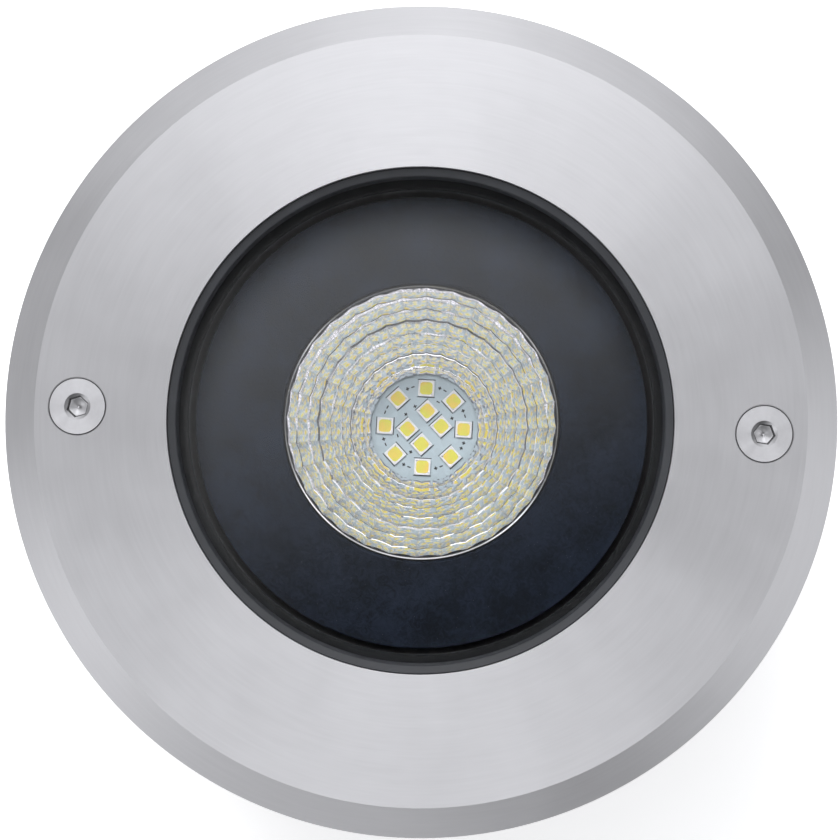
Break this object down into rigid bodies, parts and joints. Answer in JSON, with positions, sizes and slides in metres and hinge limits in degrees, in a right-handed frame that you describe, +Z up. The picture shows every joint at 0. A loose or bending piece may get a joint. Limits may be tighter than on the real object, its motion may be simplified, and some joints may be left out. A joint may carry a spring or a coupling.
{
  "type": "recessed ground light",
  "caption": "Round recessed ground light: chamfered steel ring with hex-socket screws, thick glass over a faceted reflector and LED board, finned housing, ground sleeve.",
  "frame": {"origin": "middle of the sleeve's flat base, where the buried light stands", "axes": "+Z up out of the ground through the glass; the two face screws lie on the X axis; the open cable entry faces +Y and the blanked one -Y"},
  "size_m": [0.175, 0.175, 0.1451],
  "materials": {
    "brushed_steel": "turned grey stainless steel, concentric brushing",
    "bolt_steel": "plain bright screws",
    "insert_brass": "machined",
    "gasket_rubber": "matt black rubber",
    "clear_glass": "clear toughened glass",
    "cast_aluminium": "as cast",
    "black_plate": "charcoal, fine leather texture",
    "reflector_mirror": "bright mirror facets",
    "board_white": "pale solder mask",
    "led_phosphor": "yellow phosphor in a white package",
    "plain_aluminium": "milled",
    "driver_case": "potted grey case",
    "nylon": "natural nylon",
    "sleeve_plastic": "black moulded plastic",
    "lead_live": "insulated wire",
    "lead_neutral": "insulated wire"
  },
  "bodies": {
    "sleeve": {"sleeve": "sleeve_plastic", "insert_left": "insert_brass", "insert_right": "insert_brass", "blanking_plug": "sleeve_plastic"},
    "luminaire": {"face_ring": "brushed_steel", "glass": "clear_glass", "glass_gasket": "gasket_rubber", "housing": "cast_aluminium", "reflector_plate": "black_plate", "reflector": "reflector_mirror", "led_board": "board_white", "heat_spreader": "plain_aluminium", "driver": "driver_case", "driver_screw_left": "bolt_steel", "driver_screw_right": "bolt_steel", "board_screw_left": "bolt_steel", "board_screw_right": "bolt_steel", "terminal_block": "nylon", "terminal_screw": "bolt_steel", "led_lead_red": "lead_live", "led_lead_black": "lead_neutral", "mains_lead_brown": "lead_live", "mains_lead_blue": "lead_neutral", "gland_washer": "gasket_rubber", "gland_body": "sleeve_plastic", "gland_seal": "gasket_rubber", "gland_nut": "sleeve_plastic", "vent_plug": "sleeve_plastic", "flange_screw_1": "bolt_steel", "flange_screw_2": "bolt_steel", "flange_screw_3": "bolt_steel", "flange_screw_4": "bolt_steel", "flange_screw_5": "bolt_steel", "flange_screw_6": "bolt_steel", "plate_screw_1": "bolt_steel", "spreader_screw_1": "bolt_steel", "plate_screw_2": "bolt_steel", "spreader_screw_2": "bolt_steel", "plate_screw_3": "bolt_steel", "spreader_screw_3": "bolt_steel", "led_1": "led_phosphor", "led_2": "led_phosphor", "led_3": "led_phosphor", "led_4": "led_phosphor", "led_5": "led_phosphor", "led_6": "led_phosphor", "led_7": "led_phosphor", "led_8": "led_phosphor", "led_9": "led_phosphor", "led_10": "led_phosphor", "led_11": "led_phosphor", "led_12": "led_phosphor"},
    "retainer_left": {"screw_retainer_left": "nylon"},
    "screw_left": {"face_screw_left": "brushed_steel"},
    "retainer_right": {"screw_retainer_right": "nylon"},
    "screw_right": {"face_screw_right": "brushed_steel"}
  },
  "joints": [
    {"name": "luminaire_lift", "type": "slide", "parent": "sleeve", "child": "luminaire", "axis": [0, 0, 1], "range_m": [0, 0.112]},
    {"name": "screw_rise_left", "type": "slide", "parent": "luminaire", "child": "retainer_left", "axis": [0, 0, 1], "range_m": [0, 0.0135]},
    {"name": "screw_turn_left", "type": "hinge", "parent": "retainer_left", "child": "screw_left", "pos_m": [-0.072, 0, 0.1401], "axis": [0, 0, 1], "range_deg": [0, 4850]},
    {"name": "screw_rise_right", "type": "slide", "parent": "luminaire", "child": "retainer_right", "axis": [0, 0, 1], "range_m": [0, 0.0135]},
    {"name": "screw_turn_right", "type": "hinge", "parent": "retainer_right", "child": "screw_right", "pos_m": [0.072, 0, 0.1401], "axis": [0, 0, 1], "range_deg": [0, 4850]}
  ],
  "couplings": [
    {"joint": "screw_rise_left", "follows": "screw_turn_left", "m_per_rad": 0.00015915},
    {"joint": "screw_rise_right", "follows": "screw_turn_right", "m_per_rad": 0.00015915}
  ]
}
